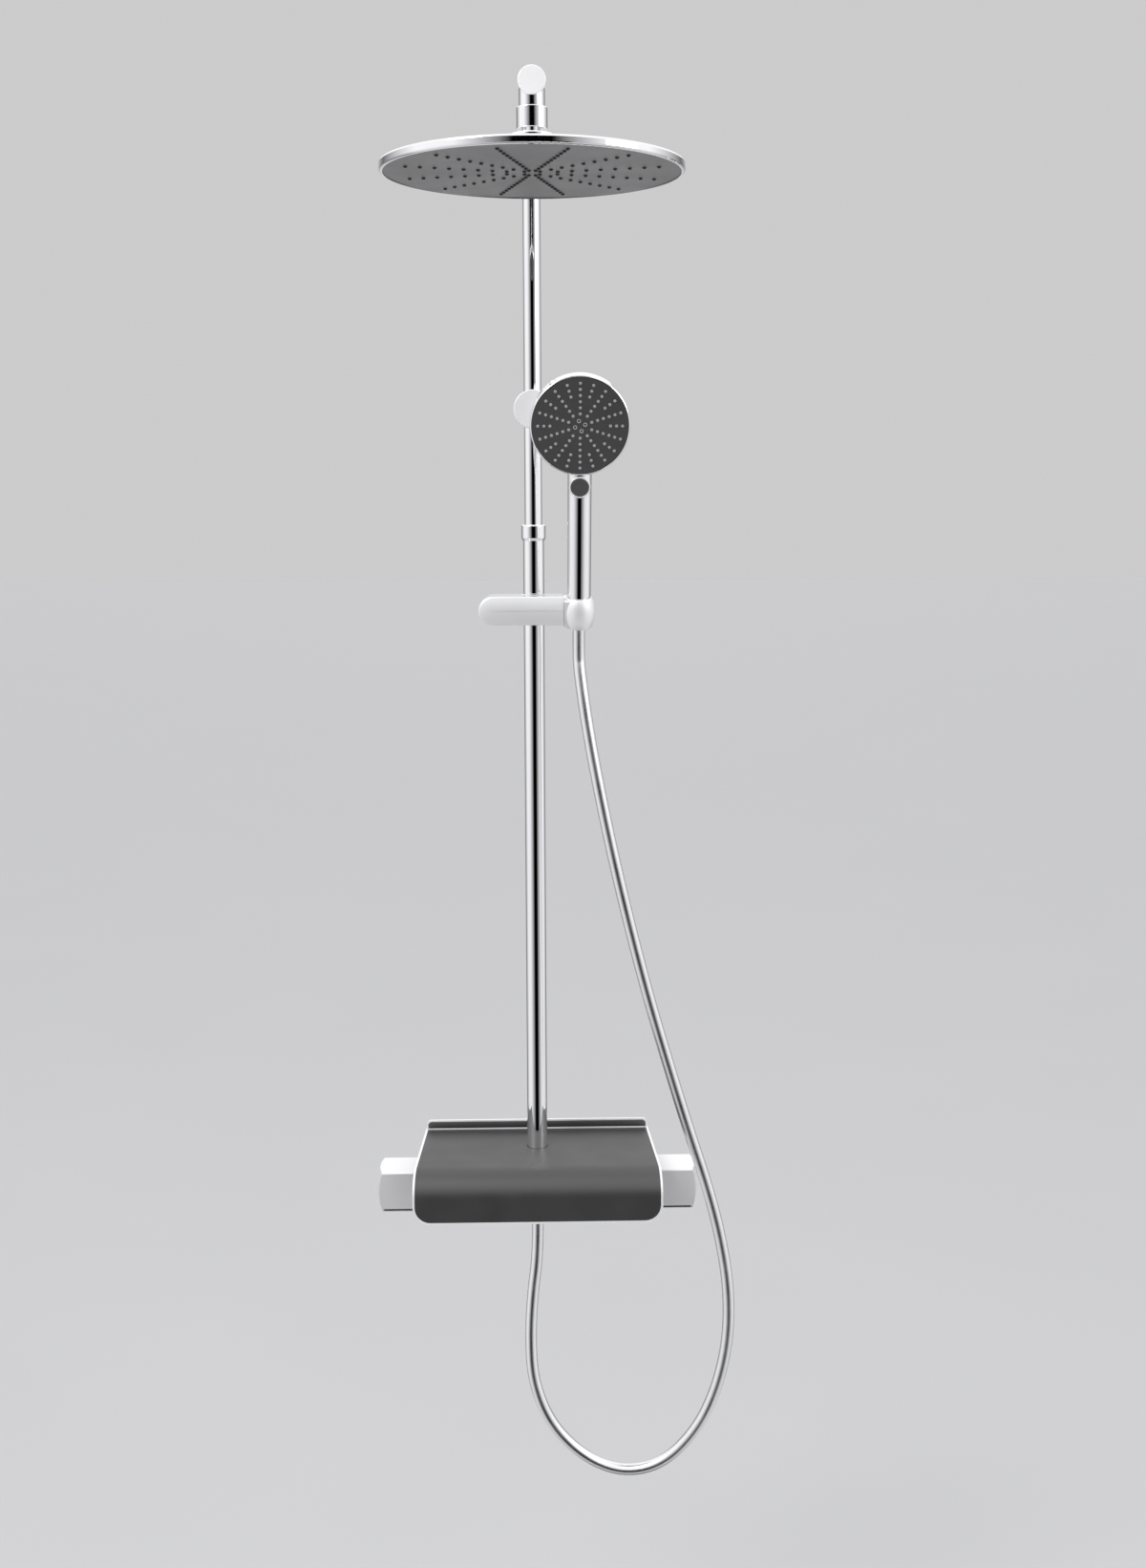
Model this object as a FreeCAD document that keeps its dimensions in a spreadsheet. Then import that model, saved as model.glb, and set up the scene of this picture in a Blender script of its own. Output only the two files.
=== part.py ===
import FreeCAD, Part
import math
import os
import Sketcher

# Rainfall shower column, wall mounted.
# Millimetres. The origin is midway between the two wall inlets on the wall's face: +X to the right,
# +Y into the wall, +Z up. Everything visible stands in front of the wall, at negative Y.

V = FreeCAD.Vector
doc = FreeCAD.newDocument("shower_column")
dims = doc.addObject("Spreadsheet::Sheet", "Dims")

DRIVING = {
    # mixer
    "inlet_spacing": 150, "column_y": -70, "mixer_radius": 22, "mixer_half": 128,
    "inlet_thread_radius": 10.48, "inlet_thread_length": 15, "union_thread_radius": 13.2,
    "outlet_thread_radius": 10.4, "cartridge_radius": 16.8, "spindle_radius": 4,
    # knobs
    "knob_side": 50, "knob_corner": 2.5, "knob_start": 131.5, "knob_end": 193.5, "knob_crown": 85,
    "knob_cover": 2.2, "knob_groove": 0.8,
    # shelf
    "shelf_top": 48, "shelf_thick": 4.5, "shelf_back_half": 137.5, "shelf_front_half": 145.5,
    "shelf_back": 12, "shelf_front": 165, "shelf_drop": 59, "shelf_bend": 30, "apron_corner": 21,
    "shelf_edge": 2.4, "rail_height": 12,
    # riser
    "lower_radius": 12, "lower_bore": 10.6, "lower_foot": 30, "lower_top": 781,
    "upper_radius": 10, "upper_bore": 8.8, "upper_foot": 600, "upper_top": 1186,
    "collar_radius": 14, "collar_base": 773, "collar_tall": 18,
    # wall bracket
    "bracket_height": 918.5, "bracket_disc": 21.5, "bracket_flange": 18,
    # arm and overhead spray
    "arm_height": 1193, "arm_radius": 12.2, "arm_reach": 408, "arm_cap": 12.8,
    "ball_height": 1136, "ball_radius": 10.8, "socket_radius": 20,
    "head_radius": 140, "head_face": 1114, "head_rim": 8,
    # slider, holder and handset
    "slider_height": 695.7, "slider_half": 16, "slider_left": 46.4, "slider_right": 33,
    "holder_x": 50.5, "holder_y": -105, "holder_pivot": 9, "handset_tilt": 14, "holder_radius": 18.6,
    "holder_tall": 35.5, "holder_bulge": 27.4,
    "handle_radius": 13.4, "spray_radius": 54, "spray_height": 211, "button_height": 144,
    "button_radius": 9.9, "button_front": 14.4, "spray_front": 14.5, "spray_lip": 1.9,
    # hose
    "hose_radius": 7,
    # gaps round what slides, turns or screws in, and round what is fixed in place
    "sliding_gap": 0.08, "seat_gap": 0.05,
}
for row, (alias, value) in enumerate(DRIVING.items(), start=1):
    dims.set(f"A{row}", alias)
    dims.set(f"B{row}", str(value))
    dims.setAlias(f"B{row}", alias)
doc.recompute()

nodes = {}
UP = FreeCAD.Rotation()
ALONG_X = FreeCAD.Rotation(V(0, 1, 0), 90)
ALONG_MINUS_X = FreeCAD.Rotation(V(0, 1, 0), -90)
ALONG_Y = FreeCAD.Rotation(V(1, 0, 0), -90)


def size(alias):
    return float(dims.get(alias))


def bind(thing, formulas):
    # a formula is a number, or words such as "Dims.arm_radius + 1"
    for prop, formula in formulas.items():
        thing.setExpression(prop, str(formula))


def place(thing, at, turn):
    thing.Placement = FreeCAD.Placement(V(0, 0, 0), turn)
    bind(thing, {f".Placement.Base.{axis}": where for axis, where in zip("xyz", at)})
    return thing


def cylinder(radius, height, at=(0, 0, 0), turn=UP):
    thing = doc.addObject("Part::Cylinder", "Cylinder")
    bind(thing, {"Radius": radius, "Height": height})
    return place(thing, at, turn)


def cone(radius_1, radius_2, height, at=(0, 0, 0), turn=UP):
    thing = doc.addObject("Part::Cone", "Cone")
    bind(thing, {"Radius1": radius_1, "Radius2": radius_2, "Height": height})
    return place(thing, at, turn)


def sphere(radius, at=(0, 0, 0)):
    thing = doc.addObject("Part::Sphere", "Sphere")
    bind(thing, {"Radius": radius})
    return place(thing, at, UP)


def box(length, width, height, at=(0, 0, 0)):
    thing = doc.addObject("Part::Box", "Box")
    bind(thing, {"Length": length, "Width": width, "Height": height})
    return place(thing, at, UP)


def hexagon(across_corners_radius, height, at=(0, 0, 0), turn=UP):
    thing = doc.addObject("Part::Prism", "Prism")
    thing.Polygon = 6
    bind(thing, {"Circumradius": across_corners_radius, "Height": height})
    return place(thing, at, turn)


def fuse(*things):
    joined = doc.addObject("Part::MultiFuse", "Fuse")
    joined.Shapes = list(things)
    return joined


def cut(base, *tools):
    for tool in tools:
        left = doc.addObject("Part::Cut", "Cut")
        left.Base = base
        left.Tool = tool
        base = left
    return base


def common(*things):
    shared = doc.addObject("Part::MultiCommon", "Common")
    shared.Shapes = list(things)
    return shared


def ring(outer, inner, height, at=(0, 0, 0), turn=UP):
    return cut(cylinder(outer, height, at, turn), cylinder(inner, height, at, turn))


def feature(shape):
    thing = doc.addObject("Part::Feature", "Shape")
    thing.Shape = shape
    return thing


def group(*things):
    # separate solids that share one node
    several = doc.addObject("Part::Compound", "Group")
    several.Links = list(things)
    return several


def node(label, thing, placement=None):
    thing.Label = label
    if placement is not None:
        thing.Placement = placement
    nodes[label] = thing
    return thing


def rounded(thing, radius, is_edge):
    # fillets every edge that is_edge picks
    doc.recompute()
    picked = [n for n, edge in enumerate(thing.Shape.Edges, start=1) if is_edge(edge)]
    done = doc.addObject("Part::Fillet", "Fillet")
    done.Base = thing
    done.Edges = [(n, radius, radius) for n in picked]
    return done


def circle_edge(radius, axis=None, at=None):
    # a test for whole circles of that radius, and at that distance along a row axis
    def is_edge(edge):
        curve = edge.Curve
        if not isinstance(curve, Part.Circle) or abs(curve.Radius - radius) > 0.01:
            return False
        return at is None or abs(getattr(curve.Center, axis) - at) < 0.01
    return is_edge


COLUMN_Y = "Dims.column_y"
MIRRORED = ((-1, "hot"), (1, "cold"))


# ---- mixer -------------------------------------------------------------------------------------

def mixer_body():
    half = "Dims.mixer_half"
    solids = [
        cylinder("Dims.mixer_radius", f"2 * {half}", (f"-{half}", COLUMN_Y, 0), ALONG_X),
        cylinder("Dims.union_thread_radius", 12, (0, COLUMN_Y, 18)),
        cylinder("Dims.outlet_thread_radius", 18, (0, COLUMN_Y, -36)),
    ]
    holes = [
        cylinder(7, f"2 * {half}", (f"-{half}", COLUMN_Y, 0), ALONG_X),
        cylinder(8, 31, (0, COLUMN_Y, 0)),
        cylinder(6, 37, (0, COLUMN_Y, -37)),
    ]
    for side, _ in MIRRORED:
        x = f"{side} * Dims.inlet_spacing / 2"
        solids.append(cylinder(16, 13, (x, -55, 0), ALONG_Y))
        solids.append(cylinder("Dims.union_thread_radius", 22, (x, -56, 0), ALONG_Y))
        holes.append(cylinder(8.5, "-Dims.column_y - 33", (x, COLUMN_Y, 0), ALONG_Y))
        start = f"-{half}" if side < 0 else f"{half} - 44"
        holes.append(cylinder("Dims.cartridge_radius + 0.1", 44, (start, COLUMN_Y, 0), ALONG_X))
    node("mixer_body", cut(fuse(*solids), *holes))


def wall_unions():
    nuts, washers, valves, rosettes = [], [], [], []
    for side, name in MIRRORED:
        x = f"{side} * Dims.inlet_spacing / 2"
        connector = fuse(
            cylinder("Dims.inlet_thread_radius", "Dims.inlet_thread_length", (x, 0, 0), ALONG_Y),
            cylinder(11, 29, (x, -29, 0), ALONG_Y),
            cylinder(12.6, 3, (x, -32, 0), ALONG_Y),
        )
        node(f"{name}_wall_connector", cut(connector, cylinder(7.5, 60, (x, -40, 0), ALONG_Y)))
        nuts.append(cut(hexagon(17.3, 16, (x, -42, 0), ALONG_Y),
                        cylinder("Dims.union_thread_radius + Dims.seat_gap", 13, (x, -42, 0), ALONG_Y),
                        cylinder(11.2, 20, (x, -42, 0), ALONG_Y)))
        washers.append(ring(12.4, 8.6, 2, (x, -34, 0), ALONG_Y))
        valves.append(ring(8.4, 4.5, 12, (x, -49, 0), ALONG_Y))
        plate = rounded(cylinder(32, 7, (x, -7, 0), ALONG_Y), 3, circle_edge(32, "y", -7))
        rosettes.append(cut(plate, cylinder(11.2, 12, (x, -10, 0), ALONG_Y)))
    node("union_nuts", group(*nuts))
    node("inlet_washers", group(*washers))
    node("check_valves", group(*valves))
    node("wall_rosettes", group(*rosettes))


def cartridge(label, side, length):
    # fills the end of the mixer, with a neck that its spindle turns in
    turn = ALONG_X if side > 0 else ALONG_MINUS_X
    inner = f"{side} * (Dims.mixer_half - {length})"
    neck = f"{side} * Dims.mixer_half"
    body = fuse(cylinder("Dims.cartridge_radius", length, (inner, COLUMN_Y, 0), turn),
                cylinder(10, 12, (neck, COLUMN_Y, 0), turn))
    bore = cylinder("Dims.spindle_radius + 0.07", 25,
                    (f"{side} * (Dims.mixer_half - 12)", COLUMN_Y, 0), turn)
    node(label, cut(body, bore))


def mixer_insides():
    cartridge("flow_cartridge", -1, 43)
    cartridge("thermostatic_cartridge", 1, 43.5)
    nuts = []
    for side, _ in MIRRORED:
        turn = ALONG_X if side > 0 else ALONG_MINUS_X
        at = (f"{side} * (Dims.mixer_half + 0.1)", COLUMN_Y, 0)
        nuts.append(cut(hexagon(19.5, 5, at, turn), cylinder(10.1, 5, at, turn)))
    node("cartridge_nuts", group(*nuts))
    at = ("Dims.mixer_half + 5.2", COLUMN_Y, 0)
    stop = fuse(cylinder(15, 2.4, at, ALONG_X),
                box(2.4, 5, 18, ("Dims.mixer_half + 5.2", "Dims.column_y - 2.5", 0)))
    node("temperature_stop_ring", cut(stop, cylinder(10.1, 2.4, at, ALONG_X)))


# ---- knobs -------------------------------------------------------------------------------------

def knob_blank(side):
    # rounded square bar with a crowned outer end
    wide = "Dims.knob_side"
    start = "Dims.knob_start" if side > 0 else "-Dims.knob_end"
    bar = box("Dims.knob_end - Dims.knob_start", wide, wide,
              (start, f"Dims.column_y - {wide} / 2", f"-{wide} / 2"))
    bar = rounded(bar, size("knob_corner"), lambda e: abs(e.tangentAt(e.FirstParameter).x) > 0.99)
    crown = sphere("Dims.knob_crown", (f"{side} * (Dims.knob_end - Dims.knob_crown)", COLUMN_Y, 0))
    return common(bar, crown)


def knob(name, side):
    turn = ALONG_X if side > 0 else ALONG_MINUS_X
    start = f"{side} * Dims.knob_start"
    seam = "Dims.knob_side / 2 - Dims.knob_cover"
    slab_start = "Dims.knob_start - 1" if side > 0 else "-Dims.knob_end - 1"
    slab = box(80, "Dims.knob_side + 2", 10,
               (slab_start, "Dims.column_y - Dims.knob_side / 2 - 1", seam))
    hollow = cylinder(20.5, 18, (start, COLUMN_Y, 0), turn)
    socket = cylinder("Dims.spindle_radius", 31, (start, COLUMN_Y, 0), turn)
    # a fine groove along the lower edge of the front face, as the cover's seam runs along its upper edge
    groove_start = "Dims.knob_start - 1" if side > 0 else "-Dims.knob_end + 6"
    groove = box("Dims.knob_end - Dims.knob_start - 5", 2.2, "Dims.knob_groove",
                 (groove_start, "Dims.column_y - Dims.knob_side / 2 - 1", f"-({seam})"))
    node(f"{name}_knob", cut(knob_blank(side), slab, hollow, socket, groove))
    lid = box(80, "Dims.knob_side + 2", 10,
              (slab_start, "Dims.column_y - Dims.knob_side / 2 - 1", f"{seam} + 0.15"))
    node(f"{name}_knob_cover", common(knob_blank(side), lid))
    node(f"{name}_spindle", cylinder("Dims.spindle_radius", 45.5,
                                     (f"{side} * (Dims.mixer_half - 11)", COLUMN_Y, 0), turn))


# ---- shelf -------------------------------------------------------------------------------------

def shelf_sheet(label, lift):
    # an L-shaped sheet with a bent nose: its cross-section is sketched in the YZ plane and padded
    # along X. lift makes it stand proud of the panel on both faces.
    body = doc.addObject("PartDesign::Body", label)
    sketch = body.newObject("Sketcher::SketchObject", label + "_section")
    plane = [f for f in body.Origin.OriginFeatures if f.Role == "YZ_Plane"][0]
    sketch.AttachmentSupport = (plane, [""])
    sketch.MapMode = "FlatFace"
    top, back, front = size("shelf_top") + lift, -size("shelf_back"), -size("shelf_front") - lift
    low, thick = size("shelf_top") - size("shelf_drop"), size("shelf_thick") + 2 * lift
    bend = size("shelf_bend") + lift
    bend_y, bend_z = front + bend, top - bend

    def line(y1, z1, y2, z2):
        return sketch.addGeometry(Part.LineSegment(V(y1, z1, 0), V(y2, z2, 0)), False)

    def quarter(radius):
        circle = Part.Circle(V(bend_y, bend_z, 0), V(0, 0, 1), radius)
        return sketch.addGeometry(Part.ArcOfCircle(circle, math.pi / 2, math.pi), False)

    upper = line(back, top, bend_y, top)
    nose = quarter(bend)
    apron = line(front, bend_z, front, low)
    foot = line(front, low, front + thick, low)
    apron_back = line(front + thick, low, front + thick, bend_z)
    hollow = quarter(bend - thick)
    under = line(bend_y, top - thick, back, top - thick)
    rear = line(back, top - thick, back, top)
    constrain = sketch.addConstraint
    for first, end, second, start in ((upper, 2, nose, 1), (nose, 2, apron, 1),
                                      (apron_back, 2, hollow, 2), (hollow, 1, under, 1)):
        constrain(Sketcher.Constraint("Tangent", first, end, second, start))
    for first, second in ((apron, foot), (foot, apron_back), (under, rear), (rear, upper)):
        constrain(Sketcher.Constraint("Coincident", first, 2, second, 1))
    for level in (upper, foot, under):
        constrain(Sketcher.Constraint("Horizontal", level))
    for upright in (apron, apron_back, rear):
        constrain(Sketcher.Constraint("Vertical", upright))
    held = [
        ("Radius", (nose,), bend, f"Dims.shelf_bend + {lift}"),
        ("Radius", (hollow,), bend - thick, f"Dims.shelf_bend - Dims.shelf_thick - {lift}"),
        ("DistanceY", (-1, 1, upper, 1), top, f"Dims.shelf_top + {lift}"),
        ("DistanceX", (upper, 1, -1, 1), -back, "Dims.shelf_back"),
        ("DistanceX", (apron, 1, -1, 1), -front, f"Dims.shelf_front + {lift}"),
        ("DistanceX", (foot, 1, foot, 2), thick, f"Dims.shelf_thick + {2 * lift}"),
        ("DistanceY", (rear, 1, rear, 2), thick, f"Dims.shelf_thick + {2 * lift}"),
        ("DistanceY", (foot, 1, -1, 1), -low, "Dims.shelf_drop - Dims.shelf_top"),
    ]
    for kind, ends, value, formula in held:
        number = constrain(Sketcher.Constraint(kind, *ends, value))
        sketch.setExpression(f"Constraints[{number}]", formula)
    pad = body.newObject("PartDesign::Pad", label + "_pad")
    pad.Profile = sketch
    pad.SideType = "Symmetric"
    pad.setExpression("Length", "2 * Dims.shelf_front_half + 10")
    return body


def shelf_outline(inset):
    # the shelf widens towards its front, and its apron's lower corners are round
    back, front = -size("shelf_back") + 1 - inset, -size("shelf_front") - 2
    back_half, front_half = size("shelf_back_half") - inset, size("shelf_front_half") - inset
    high = size("shelf_top") + 5
    low = size("shelf_top") - size("shelf_drop") + inset
    corner = size("apron_corner") - inset
    corners = [(-back_half, back), (back_half, back), (front_half, front), (-front_half, front)]
    plan = Part.makePolygon([V(x, y, -50) for x, y in corners + corners[:1]])
    plan = Part.Face(plan).extrude(V(0, 0, 120))
    edge_half = front_half - 0.1
    face = Part.makeBox(2 * edge_half, 200, high - low, V(-edge_half, -190, low))
    lower = [e for e in face.Edges
             if abs(e.tangentAt(e.FirstParameter).y) > 0.99 and abs(e.CenterOfMass.z - low) < 0.01]
    return feature(plan.common(face.makeFillet(corner, lower)))


def shelf():
    lift = 0.4
    riser_hole = cylinder("Dims.lower_radius + 0.5", 60, (0, COLUMN_Y, 20))
    panel = common(shelf_sheet("panel_sheet", 0), shelf_outline(size("shelf_edge")))
    node("shelf_panel", cut(panel, riser_hole))
    band = cut(common(shelf_sheet("trim_sheet", lift), shelf_outline(0)), shelf_outline(size("shelf_edge")))
    half = "Dims.shelf_back_half - 0.5"
    rail = box(f"2 * ({half})", 3, "Dims.rail_height + 2",
               (f"-({half})", "-Dims.shelf_back - 3.4", "Dims.shelf_top - 2"))
    top = size("shelf_top") + size("rail_height")
    rail = rounded(rail, 6, lambda e: abs(e.tangentAt(e.FirstParameter).y) > 0.99
                   and abs(e.CenterOfMass.z - top) < 0.01)
    # the rail stands on the panel and reaches into its edging only
    seat = box("2 * Dims.shelf_back_half", 11, "Dims.shelf_thick + 1",
               ("-Dims.shelf_back_half", "-Dims.shelf_back - 12.4", "Dims.shelf_top - Dims.shelf_thick - 1"))
    node("shelf_trim", fuse(band, cut(rail, seat)))
    clips = []
    for side, _ in MIRRORED:
        post = box(14, 26, "Dims.shelf_top - Dims.shelf_thick - 10.1",
                   (f"{side} * 50 - 7", "Dims.column_y - 13", 10))
        mixer_seat = cylinder("Dims.mixer_radius + Dims.seat_gap", 300, (-150, COLUMN_Y, 0), ALONG_X)
        clips.append(cut(post, mixer_seat))
    node("shelf_clips", group(*clips))


# ---- riser -------------------------------------------------------------------------------------

def riser():
    foot = "Dims.lower_foot"
    tube = fuse(cylinder("Dims.lower_radius", f"Dims.lower_top - {foot}", (0, COLUMN_Y, foot)),
                cylinder(13, 3, (0, COLUMN_Y, foot)))
    node("lower_riser_tube", cut(tube, cylinder("Dims.lower_bore", 800, (0, COLUMN_Y, foot))))
    nut = hexagon(18, 14, (0, COLUMN_Y, 24.5))
    node("riser_nut", cut(nut, cylinder("Dims.union_thread_radius + Dims.seat_gap", 9.6, (0, COLUMN_Y, 24.5)),
                          cylinder("Dims.lower_radius + 0.1", 20, (0, COLUMN_Y, 24.5))))
    base = "Dims.collar_base"
    outside = fuse(cylinder("Dims.collar_radius", "Dims.collar_tall - 3", (0, COLUMN_Y, f"{base} + 3")),
                   cone("Dims.lower_radius + 0.5", "Dims.collar_radius", 3, (0, COLUMN_Y, base)))
    collar_top = size("collar_base") + size("collar_tall")
    outside = rounded(outside, 1.8, circle_edge(size("collar_radius"), "z", collar_top))
    node("telescope_collar", cut(outside,
                                 cylinder("Dims.lower_radius + Dims.sliding_gap", 13.4, (0, COLUMN_Y, base)),
                                 cylinder("Dims.upper_radius + 0.3", 30, (0, COLUMN_Y, base))))
    node("clamp_ring", cut(ring("Dims.lower_radius - 0.1", "Dims.upper_radius + Dims.sliding_gap", 5,
                                (0, COLUMN_Y, "Dims.lower_top")),
                           box(20, 1.5, 10, (0, "Dims.column_y - 0.75", "Dims.lower_top - 1"))))
    node("guide_bush", ring("Dims.lower_bore - 0.06", 9.06, 9, (0, COLUMN_Y, "Dims.upper_foot + 5.5")))
    seal = doc.addObject("Part::Torus", "Torus")
    bind(seal, {"Radius1": 9.8, "Radius2": 0.7})
    node("riser_seal", place(seal, (0, COLUMN_Y, "Dims.upper_foot + 3"), UP))


def wall_bracket():
    z = "Dims.bracket_height"
    node("bracket_base", ring(8.4, 2.6, 20, (0, -20, z), ALONG_Y))
    flange = rounded(cylinder("Dims.bracket_flange", 5, (0, -5, z), ALONG_Y), 2,
                     circle_edge(size("bracket_flange"), "y", -5))
    node("bracket_flange", cut(flange, cylinder(11.1, 5, (0, -5, z), ALONG_Y)))
    clamp_outer = cylinder(15.5, 27, (0, COLUMN_Y, f"{z} - 13.5"))
    post = fuse(cylinder(11, 58, (0, -58.3, z), ALONG_Y), clamp_outer,
                cylinder(10, 26, (0, -86, z), ALONG_Y))
    hollow = [cylinder(8.5, 25, (0, -25.1, z), ALONG_Y),
              cylinder("Dims.upper_radius + 1", 60, (0, COLUMN_Y, f"{z} - 30"))]
    node("bracket_post", cut(post, *hollow))
    node("bracket_bush", ring("Dims.upper_radius + 1 - Dims.seat_gap", "Dims.upper_radius + Dims.sliding_gap",
                              26, (0, COLUMN_Y, f"{z} - 13")))
    disc = rounded(cylinder("Dims.bracket_disc", 7, (0, -93.5, z), ALONG_Y), 1,
                   circle_edge(size("bracket_disc"), "y", -93.5))
    node("bracket_cover", cut(disc, cylinder(10.1, 4, (0, -90.1, z), ALONG_Y)))


# ---- upper tube, arm and overhead spray -----------------------------------------------------------

def shower_arm():
    z, reach = "Dims.arm_height", "-Dims.arm_reach"
    tube = fuse(cylinder("Dims.upper_radius", "Dims.upper_top - Dims.upper_foot - 15",
                         (0, COLUMN_Y, "Dims.upper_foot + 15")),
                cylinder(9, 16, (0, COLUMN_Y, "Dims.upper_foot")))
    bore = cylinder("Dims.upper_bore - 1", 700, (0, COLUMN_Y, "Dims.upper_foot - 1"))
    node("upper_riser_tube", cut(tube, bore))
    length = "Dims.arm_reach + 9 - 56"
    arm = cylinder("Dims.arm_radius", length, (0, f"{reach} - 9", z), ALONG_Y)
    holes = [cylinder("Dims.arm_radius - 1.7", length, (0, f"{reach} - 9", z), ALONG_Y),
             cylinder("Dims.upper_radius + 0.02", 20, (0, COLUMN_Y, f"{z} - 20")),
             cylinder(8, 20, (0, reach, f"{z} - 20"))]
    node("arm_tube", cut(arm, *holes))
    front_cap = rounded(cylinder("Dims.arm_cap", 4, (0, f"{reach} - 13", z), ALONG_Y), 0.8,
                        circle_edge(size("arm_cap"), "y", -size("arm_reach") - 13))
    rear_cap = rounded(cylinder("Dims.arm_cap", 4, (0, -56, z), ALONG_Y), 0.8,
                       circle_edge(size("arm_cap"), "y", -52))
    node("arm_caps", group(front_cap, rear_cap))
    # the arm lies in a saddle cut into the top of the nut and of the drop pipe
    arm_room = "Dims.arm_radius + Dims.seat_gap"
    rear_saddle = cylinder(arm_room, "Dims.arm_reach + 40", (0, f"{reach} - 20", z), ALONG_Y)
    tube_room = cylinder("Dims.upper_radius + Dims.seat_gap", 40, (0, COLUMN_Y, f"{z} - 40"))
    node("arm_nut", cut(cylinder(13.9, 27, (0, COLUMN_Y, f"{z} - 32")), tube_room, rear_saddle))
    front_saddle = cylinder(arm_room, 100, (0, f"{reach} - 50", z), ALONG_Y)
    cap_room = cylinder("Dims.arm_cap + Dims.seat_gap", 10, (0, f"{reach} - 18.95", z), ALONG_Y)
    node("drop_pipe", cut(cylinder(12.1, 16, (0, reach, f"{z} - 21.4")),
                          cylinder(8, 30, (0, reach, f"{z} - 30")), front_saddle, cap_room))


def ball_joint():
    reach, middle = "-Dims.arm_reach", "Dims.ball_height"
    connector = fuse(rounded(cylinder(14.4, 19, (0, reach, f"{middle} + 16.5")), 0.8, circle_edge(14.4)),
                     cylinder(6.3, 14, (0, reach, f"{middle} + 5")),
                     sphere("Dims.ball_radius", (0, reach, middle)))
    node("ball_connector", cut(connector, cylinder(4, 60, (0, reach, f"{middle} - 20"))))
    shell = cut(sphere("Dims.ball_radius + 1.6", (0, reach, middle)),
                sphere("Dims.ball_radius + Dims.sliding_gap", (0, reach, middle)))
    band = ring(20, 6.5, 7, (0, reach, f"{middle} - 10"))
    node("ball_seat_ring", common(shell, band))
    lower = cut(cylinder("Dims.socket_radius", 13.5, (0, reach, f"{middle} - 13.5")),
                sphere("Dims.ball_radius + 1.7", (0, reach, middle)),
                cylinder(6.5, 20, (0, reach, f"{middle} - 20")))
    node("head_socket", lower)
    # its top stays under the connector's foot when the head is tilted fully both ways at once
    ring_tall = 12.2
    upper = rounded(cylinder("Dims.socket_radius", ring_tall, (0, reach, f"{middle} + 0.1")), 1.5,
                    circle_edge(size("socket_radius"), "z", size("ball_height") + 0.1 + ring_tall))
    node("socket_ring", cut(upper, sphere("Dims.ball_radius + 0.3", (0, reach, middle)),
                            cone(9.3, 11.8, 8.8, (0, reach, f"{middle} + 4")),
                            cylinder(9.3, 8, (0, reach, middle))))


def nozzle_places(rows, low):
    # rows is a list of (angle in degrees, distances from the middle)
    return [V(distance * math.cos(math.radians(angle)), distance * math.sin(math.radians(angle)), low)
            for angle, distances in rows for distance in distances]


def spray_holes(rows, radius, depth, low):
    return [Part.makeCylinder(radius, depth, at) for at in nozzle_places(rows, low)]


def spray_tips(rows, foot_radius, tip_radius, height, low):
    return [Part.makeCone(foot_radius, tip_radius, height, at) for at in nozzle_places(rows, low)]


def overhead_rows():
    # the steep rows are closer set and start nearer to the middle than the others
    rows = []
    for angle in range(15, 360, 30):
        steep = abs(math.sin(math.radians(angle))) > 0.9
        first, pitch, count = (12, 10.4, 11) if steep else (24, 13.4, 8)
        rows.append((angle, [first + pitch * k for k in range(count)]))
    return rows + [(45 + 90 * n, [10]) for n in range(4)]


def overhead():
    radius = size("head_radius")
    over = "Dims.head_face + Dims.head_rim"
    outside = fuse(cylinder("Dims.head_radius", "Dims.head_rim", (0, "-Dims.arm_reach", "Dims.head_face")),
                   cone("Dims.head_radius - 6", 24, 3.5, (0, "-Dims.arm_reach", over)))
    outside = rounded(outside, 2, circle_edge(radius))
    well = [cylinder("Dims.head_radius - 3.5", 3.2, (0, "-Dims.arm_reach", "Dims.head_face")),
            cylinder("Dims.head_radius - 8", 3.4, (0, "-Dims.arm_reach", "Dims.head_face + 3")),
            cylinder("Dims.socket_radius + 0.1", 20, (0, "-Dims.arm_reach", "Dims.head_face + 8.5")),
            cylinder(6.5, 20, (0, "-Dims.arm_reach", "Dims.head_face"))]
    node("head_shell", cut(outside, *well))
    centre = FreeCAD.Placement(V(0, -size("arm_reach"), size("head_face")), UP)
    plate = Part.makeCylinder(radius - 3.7, 2, V(0, 0, 0.9))
    plate = plate.cut(Part.makeCompound(spray_holes(overhead_rows(), 2.3, 6, -1)))
    node("head_faceplate", feature(plate), centre)
    mat = Part.makeCylinder(radius - 9, 1.4, V(0, 0, 3.1))
    mat = mat.fuse(spray_tips(overhead_rows(), 1.5, 2.1, 3.6, -0.4))
    bores = Part.makeCompound(spray_holes(overhead_rows(), 0.6, 8, -2))
    node("head_nozzle_mat", feature(mat.cut(bores)), centre)


# ---- slider ------------------------------------------------------------------------------------

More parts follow.
